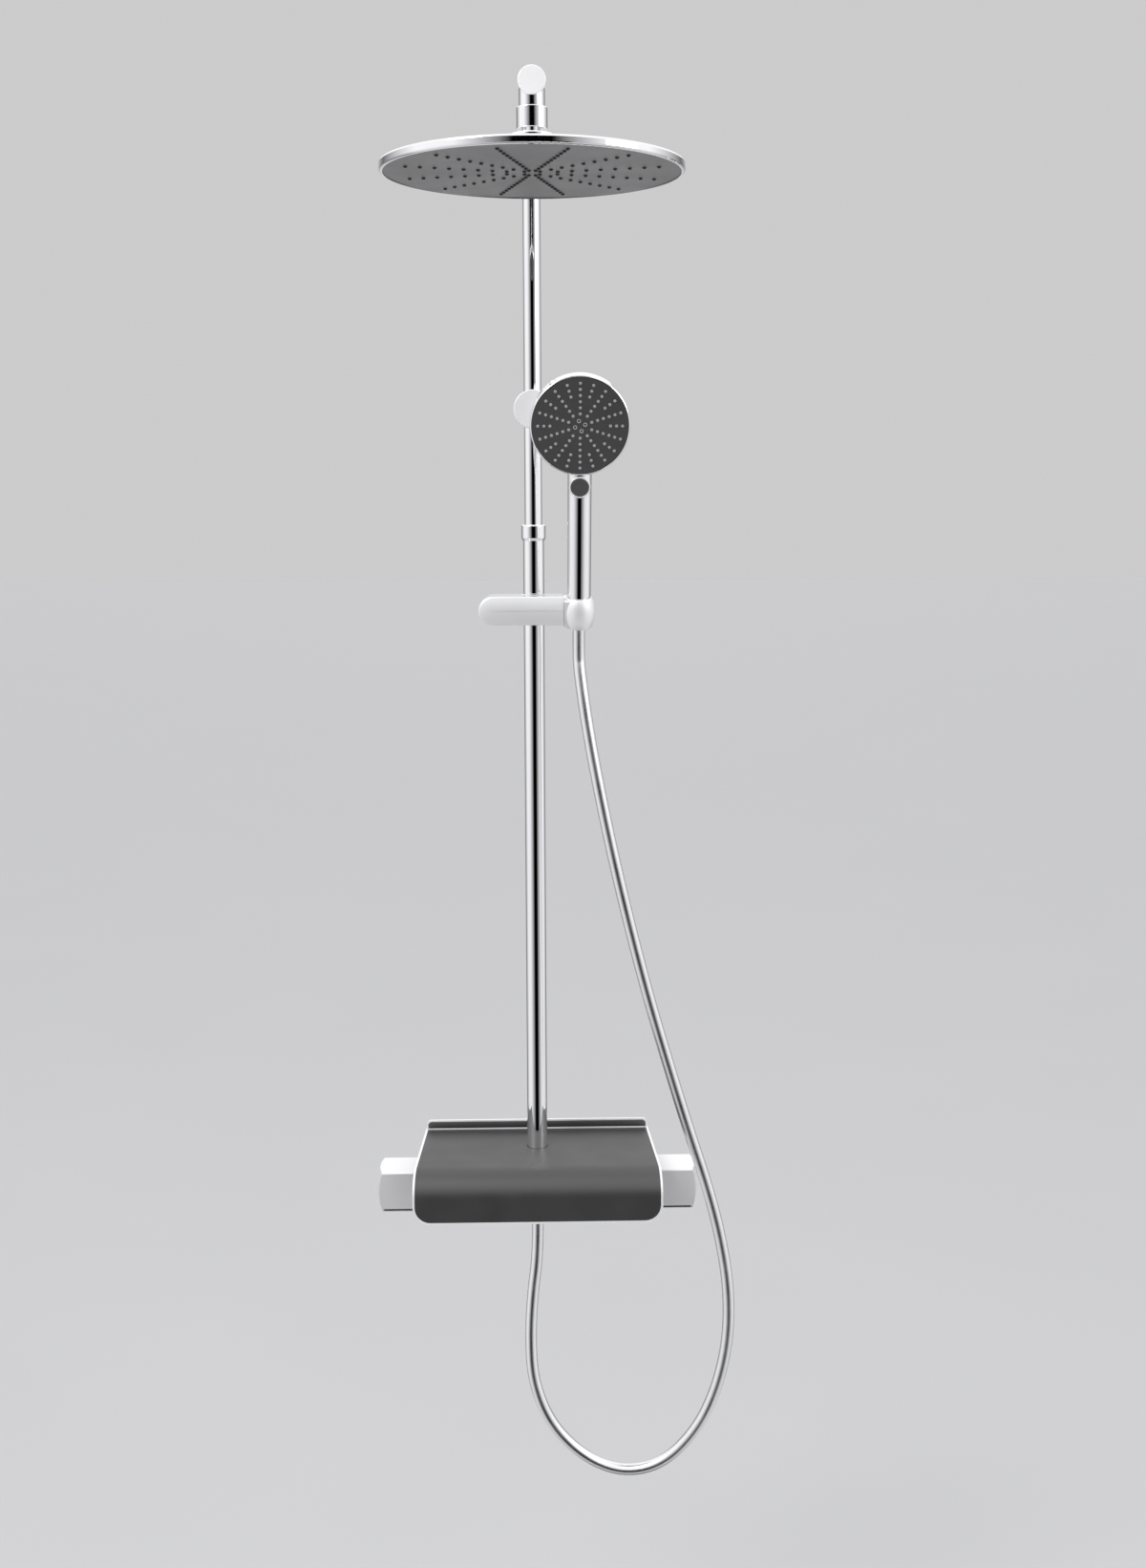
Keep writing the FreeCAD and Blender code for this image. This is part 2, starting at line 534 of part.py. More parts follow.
def slider():
    z, half = "Dims.slider_height", "Dims.slider_half"
    left, right = "Dims.slider_left", "Dims.slider_right"
    low = f"{z} - {half}"
    sleeve = ring(14.9, "Dims.lower_radius + Dims.sliding_gap", f"2 * {half} + 1",
                  (0, COLUMN_Y, f"{low} - 0.5"))
    node("slider_bush", cut(sleeve, box(20, 2, 60, (0, "Dims.column_y - 1", f"{low} - 5"))))
    block = fuse(box(f"{left} + {right} - 0.4", 50, f"2 * {half}", (f"-{left}", -104, low)),
                 cylinder(half, 46, (f"-{left}", -104, z), ALONG_Y))
    tools = [cylinder(15, 60, (0, COLUMN_Y, f"{low} - 5")),
             box(19, 10, 23, (2.5, -104.5, f"{z} - 11.5")),
             cylinder(2, 40, (12, -99.5, f"{low} - 3")),
             cylinder(5, 12, (f"{right} - 10", "Dims.holder_y + Dims.holder_pivot", z), ALONG_X),
             box(20, 5, 12, (-54, -104.1, f"{z} - 6"))]
    node("slider_body", cut(block, *tools))
    # a bowed leaf between the floor of its pocket and the back of the lever plate
    bow = ring(12.5, 12, 10, (-44, -94.6, f"{z} - 5"))
    node("lever_spring", common(bow, box(17, 8, 10, (-52.5, -106.98, f"{z} - 5"))))
    node("lever_pin", cylinder(1.95, f"2 * {half} - 1", (12, -99.5, f"{low} + 0.5")))
    plate = fuse(box(f"{left} + {right}", 8, f"2 * {half}", (f"-{left}", -115, low)),
                 cylinder(half, 8, (f"-{left}", -115, z), ALONG_Y))
    front = -115
    # every edge of the front face is eased, but for the straight one at the holder's end
    plate = rounded(plate, 1.2, lambda e: abs(e.BoundBox.YMin - front) < 0.01
                    and abs(e.BoundBox.YMax - front) < 0.01 and e.BoundBox.XMax < 32)
    lug = box(15, 14, 22, (4.5, -110, f"{z} - 11"))
    node("slider_plate", cut(fuse(plate, lug), cylinder(2.02, 40, (12, -99.5, f"{low} - 3"))))


def holder():
    # its own frame: +Z up along the handset, -Y towards the user, turned to the handset's lean
    lean = FreeCAD.Placement(V(size("holder_x"), size("holder_y"), size("slider_height")),
                             FreeCAD.Rotation(V(1, 0, 0), size("handset_tilt")))
    tall, radius = "Dims.holder_tall", "Dims.holder_radius"
    bulge = doc.addObject("Part::Ellipsoid", "Bulge")
    bind(bulge, {"Radius1": "Dims.holder_bulge", "Radius2": radius, "Radius3": radius})
    barrel = common(cylinder(f"{radius} + 1", tall, (0, 0, f"-{tall} / 2 - 1.5")),
                    place(bulge, (0, 0, -1.5), UP))
    cheek = box(17, 27, f"{tall} - 6", (-17, -12, f"-{tall} / 2 + 1.5"))
    # the pivot lies level behind the handset's axis, so it is below it in the leaning frame
    lean_sine, lean_cosine = "sin(Dims.handset_tilt * 1 deg)", "cos(Dims.handset_tilt * 1 deg)"
    pivot = (-17.5, f"Dims.holder_pivot * {lean_cosine}", f"-Dims.holder_pivot * {lean_sine}")
    tools = [cone(11.05, 12.55, 34.8, (0, 0, -18)), cylinder(11.1, 5, (0, 0, -21)),
             cylinder(12.6, 8, (0, 0, 16.7)), box(15.6, 30, 60, (-7.8, 0, -30)),
             box(10, 60, 60, (-27, -30, -30)),
             cylinder(5.07, 4, pivot, ALONG_X)]
    node("handset_holder", cut(fuse(barrel, cheek), *tools), lean)
    node("holder_pin", cylinder(5, 13.5, ("Dims.slider_right - 10", "Dims.holder_y + Dims.holder_pivot",
                                          "Dims.slider_height"), ALONG_X))
    return lean


# ---- handset -----------------------------------------------------------------------------------

def handset_rows():
    long_rows = [(90 + 36 * n, [13 + 6.5 * k for k in range(6)]) for n in range(10)]
    short_rows = [(108 + 36 * n, [32.5 + 6.5 * k for k in range(3)]) for n in range(10)]
    return long_rows + short_rows + [(15 + 90 * n, [5.6]) for n in range(4)]


def handset(lean):
    spray, handle = "Dims.spray_height", "Dims.handle_radius"
    front = "-Dims.spray_front"
    disc = cylinder("Dims.spray_radius", 20, (0, front, spray), ALONG_Y)
    disc = rounded(disc, size("spray_lip"), circle_edge(size("spray_radius")))
    solids = [disc, cylinder(handle, f"{spray} - 40", (0, 0, 17.2)),
              sphere(handle, (0, 0, f"{spray} - 22.8")),
              cylinder(11.6, 11, (0, -13, "Dims.button_height"), ALONG_Y)]
    hollows = [cylinder("Dims.spray_radius - Dims.spray_lip", 3.5, (0, f"{front} - 0.5", spray), ALONG_Y),
               cylinder("Dims.spray_radius - 5", 12, (0, f"{front} + 2.5", spray), ALONG_Y),
               cylinder(9, f"{spray} - 50", (0, 0, 17)),
               cylinder("Dims.button_radius + 0.3", 11, (0, -14, "Dims.button_height"), ALONG_Y)]
    node("handset_body", cut(fuse(*solids), *hollows), lean)
    # a frame on the spray face: +Z out of the face
    middle = V(0, -size("spray_front"), size("spray_height"))
    on_face = lean.multiply(FreeCAD.Placement(middle, FreeCAD.Rotation(V(1, 0, 0), 90)))
    inside = size("spray_radius") - size("spray_lip") - 0.1
    plate = Part.makeCylinder(inside, 2, V(0, 0, -2.2))
    plate = plate.cut(Part.makeCompound(spray_holes(handset_rows(), 1.35, 6, -4)))
    node("handset_faceplate", feature(plate), on_face)
    mat = Part.makeCylinder(inside - 3.4, 1.2, V(0, 0, -3.5))
    node("handset_nozzle_mat", feature(mat.fuse(spray_tips(handset_rows(), 1.2, 0.8, 3.1, -2.6))), on_face)
    connector = fuse(cylinder("Dims.outlet_thread_radius", 10.5, (0, 0, 6.5)), cylinder(8.9, 16, (0, 0, 16)))
    node("handset_connector", cut(connector, cylinder(5, 40, (0, 0, 0))), lean)
    button = cylinder("Dims.button_radius", "Dims.button_front - 7.8",
                      (0, "-Dims.button_front", "Dims.button_height"), ALONG_Y)
    button = rounded(button, 1.2, circle_edge(size("button_radius"), "y", -size("button_front")))
    node("handset_button", fuse(button, cylinder(3, 4, (0, -8, "Dims.button_height"), ALONG_Y)), lean)
    nut = cut(cone(10.95, 12.45, 34.8, (0, 0, -18)),
              cylinder("Dims.outlet_thread_radius + Dims.sliding_gap", 20, (0, 0, 5.5)),
              cylinder(7.3, 60, (0, 0, -20)))
    node("hose_nut", nut, lean)
    node("hose_ferrule", ring(7.25, 4.5, 22, (0, 0, -18)), lean)


# ---- hose --------------------------------------------------------------------------------------

HOSE_ROUTE = [
    (0, -70, -45),
    (0, -70, -90),
    (-7, -75, -142),
    (-10, -81, -196),
    (-7, -88, -250),
    (14, -94, -304),
    (56, -100, -346),
    (104, -105, -363),
    (152, -109, -350),
    (192, -112, -305),
    (216, -114, -250),
    (229, -116, -185),
    (229, -117, -118),
    (218, -117, -50),
    (201, -117, 15),
    (179, -116, 82),
    (156, -115, 158),
    (132, -114, 240),
    (110, -112, 325),
    (90, -110, 410),
    (74, -107, 487),
    (60.5, -102, 560),
    (51.5, -95.5, 625),
]


def hose_lower_end():
    nut = cut(cone(11.2, 12.3, 18, (0, COLUMN_Y, -45)),
              cylinder("Dims.outlet_thread_radius + Dims.sliding_gap", 20, (0, COLUMN_Y, -37)),
              cylinder(7.05, 20, (0, COLUMN_Y, -46)))
    node("hose_lower_nut", nut)
    node("hose_lower_ferrule", ring(7, 4.5, 8, (0, COLUMN_Y, -45)))


def hose(lean):
    top = lean.multVec(V(0, 0, -18))
    before = lean.multVec(V(0, 0, -52))
    route = [V(*p) for p in HOSE_ROUTE] + [before, top]
    edges, start = [], route[0]
    for before_it, corner, after in zip(route, route[1:], route[2:]):
        arriving, leaving = corner - before_it, after - corner
        shorter = min(arriving.Length, leaving.Length)
        turn = arriving.getAngle(leaving)
        back = 0.45 * shorter
        radius = back / math.tan(turn / 2)
        arriving.normalize()
        leaving.normalize()
        first, last = corner - arriving * back, corner + leaving * back
        inward = leaving - arriving
        inward.normalize()
        centre = corner + inward * (radius / math.cos(turn / 2))
        middle = centre - inward * radius
        edges += [Part.LineSegment(start, first).toShape(), Part.Arc(first, middle, last).toShape()]
        start = last
        print(f"hose corner {corner.x:.0f}, {corner.y:.0f}, {corner.z:.0f}: "
              f"turn {math.degrees(turn):.0f}, radius {radius:.0f}")
    edges.append(Part.LineSegment(start, route[-1]).toShape())
    path = Part.Wire(edges)
    section = Part.Wire(Part.Circle(route[0], route[1] - route[0], size("hose_radius")).toShape())
    tube = path.makePipeShell([section], True, False)
    wanted = math.pi * size("hose_radius") ** 2 * path.Length
    print(f"hose length {path.Length:.0f}, volume ratio {tube.Volume / wanted:.4f}")
    node("hose", feature(tube))


mixer_body()
wall_unions()
mixer_insides()
knob("flow", -1)
knob("temperature", 1)
shelf()
riser()
wall_bracket()
shower_arm()
ball_joint()
overhead()
slider()
handset_lean = holder()
handset(handset_lean)
hose_lower_end()
hose(handset_lean)

doc.recompute()
for thing in doc.Objects:
    if "Invalid" in thing.State or "Error" in thing.State:
        raise RuntimeError(f"{thing.Label} failed: {thing.State}")
for label, thing in nodes.items():
    if thing.Shape.isNull() or not thing.Shape.isValid():
        raise RuntimeError(f"{label} has no valid shape")

os.makedirs("parts", exist_ok=True)
for label, thing in nodes.items():
    thing.Shape.exportStep(f"parts/{label}.step")
print(len(nodes), "nodes")
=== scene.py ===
import math
import bpy
from mathutils import Matrix, Vector


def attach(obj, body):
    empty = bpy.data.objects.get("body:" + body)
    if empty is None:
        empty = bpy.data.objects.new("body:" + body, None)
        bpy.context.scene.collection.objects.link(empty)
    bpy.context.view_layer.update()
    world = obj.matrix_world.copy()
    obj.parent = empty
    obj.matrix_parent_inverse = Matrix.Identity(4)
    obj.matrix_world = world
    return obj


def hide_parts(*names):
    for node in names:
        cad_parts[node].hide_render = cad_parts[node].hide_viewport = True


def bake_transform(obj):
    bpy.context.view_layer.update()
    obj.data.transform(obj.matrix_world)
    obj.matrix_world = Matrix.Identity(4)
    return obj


# Rainfall shower column: its looks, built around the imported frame. Metres, in the frame's own axes.

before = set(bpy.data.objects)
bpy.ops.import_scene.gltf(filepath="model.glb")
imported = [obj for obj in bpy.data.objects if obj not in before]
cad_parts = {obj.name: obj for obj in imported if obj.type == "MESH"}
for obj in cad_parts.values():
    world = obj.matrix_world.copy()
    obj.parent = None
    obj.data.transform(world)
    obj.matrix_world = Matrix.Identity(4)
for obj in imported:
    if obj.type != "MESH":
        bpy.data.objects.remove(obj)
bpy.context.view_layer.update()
MM = 0.001
scene = bpy.context.scene


# ---- helpers -------------------------------------------------------------------------------------

def link(obj):
    scene.collection.objects.link(obj)
    return obj


def mesh_object(name, points, faces, smooth_angle=40):
    mesh = bpy.data.meshes.new(name)
    mesh.from_pydata([tuple(p) for p in points], [], faces)
    mesh.update()
    mesh.shade_smooth()
    mesh.set_sharp_from_angle(angle=math.radians(smooth_angle))
    return link(bpy.data.objects.new(name, mesh))


def arc(centre, radius, start, end, steps):
    # points of an arc in a profile's plane, angles in degrees
    turns = [math.radians(start + (end - start) * n / steps) for n in range(steps + 1)]
    return [(centre[0] + radius * math.cos(t), centre[1] + radius * math.sin(t)) for t in turns]


def wrap(rings, closed_rings=True):
    # quads between rings of equal length
    faces, count = [], len(rings[0])
    last = count if closed_rings else count - 1
    for r in range(len(rings) - 1):
        for n in range(last):
            a, b = r * count + n, r * count + (n + 1) % count
            faces.append((a, b, b + count, a + count))
    return [p for ring in rings for p in ring], faces


# ---- camera --------------------------------------------------------------------------------------

CAMERA_AT = Vector((-0.0057, -2.050, 0.8253))
CAMERA_YAW, CAMERA_PITCH, CAMERA_ROLL = (math.radians(a) for a in (1.446, 9.578, 0.153))
CAMERA_LENS = 39.46


def make_camera():
    data = bpy.data.cameras.new("camera")
    data.lens = CAMERA_LENS
    camera = link(bpy.data.objects.new("camera", data))
    turn = (Matrix.Rotation(-CAMERA_YAW, 4, "Z") @ Matrix.Rotation(math.pi / 2 - CAMERA_PITCH, 4, "X")
            @ Matrix.Rotation(-CAMERA_ROLL, 4, "Z"))
    camera.matrix_world = Matrix.Translation(CAMERA_AT) @ turn
    scene.camera = camera


# ---- materials -----------------------------------------------------------------------------------

# the stretch of the noise that carries the gloss from its low end to its high end
NOISE_LOW, NOISE_HIGH = 0.3, 0.7
RELIEF_DEPTH = 0.1 * MM
BLUE_SHARE = 1.01


def finish(name, dark, light, metallic=0.0, rough=(0.3, 0.4), patch=30, grain=900, relief=0.0,
           stretch=(1, 1, 1), **sockets):
    # a surface whose colour and gloss drift slowly over it, with a fine grain in relief.
    # patch and grain are how many features there are in a metre
    made = bpy.data.materials.new(name)
    made.use_nodes = True
    tree = made.node_tree
    shader = tree.nodes["Principled BSDF"]
    shader.inputs["Metallic"].default_value = metallic
    for socket, value in sockets.items():
        shader.inputs[socket.replace("_", " ")].default_value = value
    place = tree.nodes.new("ShaderNodeTexCoord")
    mapping = tree.nodes.new("ShaderNodeMapping")
    mapping.inputs["Scale"].default_value = stretch
    tree.links.new(place.outputs["Object"], mapping.inputs["Vector"])

    def noise(scale, detail):
        node = tree.nodes.new("ShaderNodeTexNoise")
        node.inputs["Scale"].default_value = scale
        node.inputs["Detail"].default_value = detail
        tree.links.new(mapping.outputs["Vector"], node.inputs["Vector"])
        return node

    slow, fine = noise(patch, 3), noise(grain, 2)
    tint = tree.nodes.new("ShaderNodeMix")
    tint.data_type = "RGBA"
    tint.inputs["A"].default_value = (*dark, 1)
    tint.inputs["B"].default_value = (*light, 1)
    tree.links.new(slow.outputs["Fac"], tint.inputs["Factor"])
    tree.links.new(tint.outputs["Result"], shader.inputs["Base Color"])
    gloss = tree.nodes.new("ShaderNodeMapRange")
    gloss.inputs["From Min"].default_value = NOISE_LOW
    gloss.inputs["From Max"].default_value = NOISE_HIGH
    gloss.inputs["To Min"].default_value, gloss.inputs["To Max"].default_value = rough
    tree.links.new(slow.outputs["Fac"], gloss.inputs["Value"])
    tree.links.new(gloss.outputs["Result"], shader.inputs["Roughness"])
    if relief:
        bump = tree.nodes.new("ShaderNodeBump")
        bump.inputs["Strength"].default_value = relief
        bump.inputs["Distance"].default_value = RELIEF_DEPTH
        tree.links.new(fine.outputs["Fac"], bump.inputs["Height"])
        tree.links.new(bump.outputs["Normal"], shader.inputs["Normal"])
    return made


def grey(level):
    # a grey that is very slightly blue
    return (level, level, level * BLUE_SHARE)


def make_finishes():
    return {
        "chrome": finish("polished_chrome", grey(0.88), grey(0.93), 1.0, (0.03, 0.05), 14),
        "satin_chrome": finish("satin_chrome", grey(0.88), grey(0.92), 0.50, (0.42, 0.50), 20, 1500, 0.03),
        "anthracite": finish("anthracite_coating", grey(0.021), grey(0.026), 0.0, (0.42, 0.50), 25, 2200,
                             0.12, IOR=1.85),
        "grey_face": finish("grey_spray_face", grey(0.140), grey(0.158), 0.0, (0.36, 0.44), 20, 1800, 0.05),
        "dark_face": finish("dark_spray_face", grey(0.050), grey(0.060), 0.0, (0.42, 0.50), 25, 1800, 0.06),
        "dark_silicone": finish("dark_silicone", grey(0.020), grey(0.028), 0.0, (0.5, 0.62), 60, 2500, 0.1),
        "pale_silicone": finish("pale_silicone", grey(0.32), grey(0.38), 0.0, (0.5, 0.6), 60, 2500, 0.1),
        "button_plastic": finish("button_plastic", grey(0.060), grey(0.075), 0.0, (0.40, 0.48), 40, 1800,
                                 0.05),
        "brass": finish("turned_brass", (0.62, 0.44, 0.20), (0.74, 0.55, 0.28), 1.0, (0.22, 0.34), 60, 1200,
                        0.1),
        "white_plastic": finish("white_plastic", grey(0.70), grey(0.78), 0.0, (0.35, 0.45), 40, 1500, 0.08),
        "black_rubber": finish("black_rubber", grey(0.014), grey(0.024), 0.0, (0.65, 0.8), 80, 2500, 0.2),
        "spring_steel": finish("spring_steel", grey(0.50), grey(0.60), 1.0, (0.2, 0.3), 60, 1500, 0.06),
        "hose_skin": finish("silver_hose_skin", grey(0.84), grey(0.91), 1.0, (0.26, 0.32), 40, 1600, 0.03,
                            Coat_Weight=0.4, Coat_Roughness=0.06),
    }


# nodes whose finish is paler and flatter than the rest of their slot
PEARL_NODES = ("arm_caps", "bracket_cover", "shelf_trim")


def paint(obj, material):
    obj.data.materials.clear()
    obj.data.materials.append(material)
    return obj


def finish_nodes(finishes):
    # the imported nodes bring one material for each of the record's slots
    pearl = finish("pearl_chrome", grey(0.88), grey(0.92), 0.25, (0.36, 0.44), 20, 1500, 0.03)
    for name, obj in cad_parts.items():
        for slot in obj.material_slots:
            slot.material = pearl if name in PEARL_NODES else finishes[slot.material.name.split(".")[0]]


# ---- shelf, slider and handset -------------------------------------------------------------------

# Sizes here are in millimetres. The rail's face, let into the rail behind the shelf:
RAIL_FRONT, RAIL_HALF, RAIL_FOOT, RAIL_TOP, RAIL_CORNER = -15.4, 134.8, 50.2, 58.2, 4.6
RAIL_SUNK, RAIL_PROUD, RAIL_BEVEL, RAIL_BEVEL_DEPTH = 0.1, 0.4, 0.2, 0.15
RAIL_CORNER_STEPS = 8
# the lever plate's crowned front
PLATE_LEFT, PLATE_RIGHT, PLATE_HEIGHT, PLATE_HALF = -46.4, 33.1, 695.7, 16.0
PLATE_EDGE, PLATE_CROWN, PLATE_SHOULDER = 2.5, 1.3, -112.8
PLATE_OVER, PLATE_TUCK = 0.12, 1.5
EDGE_STEPS, CROWN_STEPS, STRAIGHT_STEPS, END_STEPS = 8, 14, 16, 24
# the black strip on a knob's front face: a painted reflection of the dark line that its tight lower corner
# reflects
REFLECTION_STRIP_INNER, REFLECTION_STRIP_OUTER = 132, 184.5
REFLECTION_STRIP_FRONT, REFLECTION_STRIP_BACK, REFLECTION_STRIP_TOP, REFLECTION_STRIP_FOOT = -95.06, -93.9, -20.9, -22.9
# the handset's disc, as radii and as depths from its own axis
SPRAY_HEIGHT, SPRAY_BACK, SPRAY_DOME, SPRAY_RADIUS = 211, 5.4, 13.6, 51.8
DOME_POWER, DOME_STEPS, DOME_SIDES, DOME_TIP = 1.3, 20, 72, 0.01
PLATE_FACE = 14.3
BUTTON_BELOW, RIM_SIDES = 67, 48
RIM_SECTION = [(10.0, 13.1), (10.1, 13.9), (10.5, 14.3), (11.1, 14.3), (11.6, 13.9), (11.75, 13.0)]
# the handset's nozzles: ten long rows with ten short ones between, and an eye of four in the middle
ROWS, ROW_FIRST, ROW_PITCH, LONG_COUNT, SHORT_COUNT = 10, 13, 6.5, 6, 3
EYES, EYE_FAR, EYE_TURN = 4, 5.6, 15
NOZZLE_SIDES = 16
NOZZLE_DOME = [(1.7, -0.1), (1.65, 0.3), (1.35, 0.65), (0.85, 0.85), (0.02, 0.9)]
NOZZLE_EYE = [(2.3, -0.1), (2.25, 0.3), (1.95, 0.55), (1.5, 0.55), (1.15, 0.25), (1.0, -0.4)]
# the handset leans back in its holder
HOLDER_AT = Vector((50.5, -105, 695.7)) * MM
LEAN = Matrix.Translation(HOLDER_AT) @ Matrix.Rotation(math.radians(14), 4, "X")


def rail_face(material):
    # a dark coated face let into the bright rail behind the shelf
    def outline(inset, y):
        half, low, high, corner = RAIL_HALF - inset, RAIL_FOOT + inset, RAIL_TOP - inset, RAIL_CORNER - inset
        right = arc((half - corner, high - corner), corner, 0, 90, RAIL_CORNER_STEPS)
        left = arc((-half + corner, high - corner), corner, 90, 180, RAIL_CORNER_STEPS)
        edge = [(half, low)] + right + left + [(-half, low)]
        return [Vector((x, y, z)) * MM for x, z in edge]

    front = RAIL_FRONT - RAIL_PROUD
    rings = [outline(0, RAIL_FRONT + RAIL_SUNK), outline(0, front + RAIL_BEVEL_DEPTH),
             outline(RAIL_BEVEL, front)]
    points, faces = wrap(rings)
    count = len(rings[0])
    faces.append(tuple(range(2 * count, 3 * count)))
    face = paint(mesh_object("rail_face", points, faces), material)
    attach(face, "mixer")


def slider_face(material):
    # the lever plate's crowned front: soft along its edges and round end, cut off square by the holder
    rings = []
    turns = [math.pi / 2 * n / EDGE_STEPS for n in range(EDGE_STEPS + 1)]
    steps = [(PLATE_EDGE * (1 - math.cos(t)), PLATE_SHOULDER - PLATE_EDGE * math.sin(t)) for t in turns]
    shoulder = steps[-1][1]
    for n in range(1, CROWN_STEPS + 1):
        t = n / CROWN_STEPS
        rise = PLATE_CROWN * (1 - (1 - t) ** 2)
        steps.append((PLATE_EDGE + (PLATE_HALF - PLATE_EDGE) * t, shoulder - rise))
    steps.insert(0, (0, PLATE_SHOULDER + PLATE_TUCK))
    length = PLATE_LEFT - PLATE_RIGHT
    straight = [PLATE_RIGHT + length * n / STRAIGHT_STEPS for n in range(STRAIGHT_STEPS)]
    for inset, y in steps:
        half = PLATE_HALF + PLATE_OVER - inset
        edge = [(x, -half) for x in straight] + arc((PLATE_LEFT, 0), half, 270, 90, END_STEPS)
        edge += [(x, half) for x in reversed(straight)]
        rings.append([Vector((x, y, PLATE_HEIGHT + z)) * MM for x, z in edge])
    points, faces = wrap(rings, False)
    count = len(rings[0])
    faces.append(tuple(r * count for r in range(len(rings)))
                 + tuple(r * count + count - 1 for r in reversed(range(len(rings)))))
    face = paint(mesh_object("slider_face", points, faces, 50), material)
    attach(face, "slider_lever")


def knob_painted_reflection_strips(material):
    # a black strip along the lower edge of each knob's front face: a painted reflection, put in place of the
    # dark line that the face's tight rounded corner reflects
    section = [(REFLECTION_STRIP_FRONT, REFLECTION_STRIP_TOP), (REFLECTION_STRIP_FRONT, REFLECTION_STRIP_FOOT),
               (REFLECTION_STRIP_BACK, REFLECTION_STRIP_FOOT), (REFLECTION_STRIP_BACK, REFLECTION_STRIP_TOP)]
    for side, body in ((-1, "flow_knob"), (1, "temperature_knob")):
        rings = [[Vector((side * x, y, z)) * MM for y, z in section] for x in (REFLECTION_STRIP_INNER, REFLECTION_STRIP_OUTER)]
        points, faces = wrap(rings)
        faces += [(0, 1, 2, 3), (4, 5, 6, 7)]
        painted_reflection_strip = paint(mesh_object(f"{body}_seam", points, faces), material)
        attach(painted_reflection_strip, body)


def lathe(profile, at, sides):
    # rings of a profile of (radius, depth in front of the handset's axis) round a point of the spray face
    return [[LEAN @ (Vector((at[0] + r * math.cos(t), -v, SPRAY_HEIGHT + at[1] + r * math.sin(t))) * MM)
             for t in (2 * math.pi * k / sides for k in range(sides))] for r, v in profile]


def handset_back(material):
    # the spray disc's domed back, which runs into the handle
    deep = SPRAY_DOME - SPRAY_BACK
    steps = [math.pi / 2 * n / DOME_STEPS for n in range(DOME_STEPS + 1)]
    profile = [(SPRAY_RADIUS * math.cos(t) + DOME_TIP, -SPRAY_BACK - deep * math.sin(t) ** DOME_POWER)
               for t in steps]
    points, faces = wrap(lathe(profile, (0, 0), DOME_SIDES))
    back = paint(mesh_object("handset_back", points, faces, 60), material)
    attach(back, "handset")


def button_ring(material):
    # the thin bright rim round the spray button
    points, faces = wrap(lathe(RIM_SECTION, (0, -BUTTON_BELOW), RIM_SIDES))
    rim = paint(mesh_object("button_ring", points, faces, 60), material)
    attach(rim, "handset")


def handset_nozzles(material):
    # soft pale nozzles in rows like a star, and four ringed ones in the middle
    turn = 360 / ROWS
    short_first = ROW_FIRST + ROW_PITCH * (LONG_COUNT - SHORT_COUNT)
    long_rows = [(90 + turn * n, ROW_FIRST + ROW_PITCH * k) for n in range(ROWS) for k in range(LONG_COUNT)]
    short_rows = [(90 + turn * (n + 0.5), short_first + ROW_PITCH * k)
                  for n in range(ROWS) for k in range(SHORT_COUNT)]
    nozzles = [(NOZZLE_DOME, angle, far) for angle, far in long_rows + short_rows]
    nozzles += [(NOZZLE_EYE, EYE_TURN + 360 / EYES * n, EYE_FAR) for n in range(EYES)]
    points, faces = [], []
    for shape, angle, far in nozzles:
        t = math.radians(angle)
        profile = [(r, PLATE_FACE + v) for r, v in shape]
        more, quads = wrap(lathe(profile, (far * math.cos(t), far * math.sin(t)), NOZZLE_SIDES))
        faces += [tuple(len(points) + n for n in quad) for quad in quads]
        points += more
    nozzles = paint(mesh_object("handset_nozzles", points, faces, 60), material)
    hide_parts("handset_nozzle_mat")
    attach(nozzles, "handset")


# ---- hose ----------------------------------------------------------------------------------------

HOSE_ROUTE_MM = [
    (0, -70, -45),
    (0, -70, -90),
    (-7, -75, -142),
    (-10, -81, -196),
    (-7, -88, -250),
    (14, -94, -304),
    (56, -100, -346),
    (104, -105, -363),
    (152, -109, -350),
    (192, -112, -305),
    (216, -114, -250),
    (229, -116, -185),
    (229, -117, -118),
    (218, -117, -50),
    (201, -117, 15),
    (179, -116, 82),
    (156, -115, 158),
    (132, -114, 240),
    (110, -112, 325),
    (90, -110, 410),
    (74, -107, 487),
    (60.5, -102, 560),
    (51.5, -95.5, 625),
    (50.5, -92.4, 645.2),
    (50.5, -100.6, 678.2),
]
HOSE_RADIUS = 7 * MM
HOSE_SIDES = 32
ROUTE_STEPS = 24
# so far off that the bottom bend lies midway between two such places
FAR_AWAY = 1000
# the heights, in metres, where the hose is cut into spans
LEFT_LIMB_END = -0.250
BEND_END = -0.185
SLEEVE_SPAN_END = 0.330
SWIVEL_SPAN_END = 0.495
TILT_SPAN_END = 0.590


def hose_line():
    # the hose's centre line, as points from the mixer up to the handset
    curve = bpy.data.curves.new("hose_route", "CURVE")
    curve.dimensions = "3D"
    curve.resolution_u = ROUTE_STEPS
    spline = curve.splines.new("NURBS")
    spline.points.add(len(HOSE_ROUTE_MM) - 1)
    for point, at in zip(spline.points, HOSE_ROUTE_MM):
        point.co = (*(Vector(at) * MM), 1)
    spline.order_u = 3
    spline.use_endpoint_u = True
    carrier = link(bpy.data.objects.new("hose_route", curve))
    line = [v.co.copy() for v in bpy.data.meshes.new_from_object(carrier).vertices]
    bpy.data.objects.remove(carrier)
    return line


def rings_along(line, radius, sides):
    # circles square to the line, turned as little as possible from one to the next
    rings, across = [], Vector((1, 0, 0))
    for n, at in enumerate(line):
        along = (line[min(n + 1, len(line) - 1)] - line[max(n - 1, 0)]).normalized()
        across = (across - along * across.dot(along)).normalized()
        other = along.cross(across)
        turns = [2 * math.pi * k / sides for k in range(sides)]
        rings.append([at + radius * (across * math.cos(t) + other * math.sin(t)) for t in turns])
    return rings


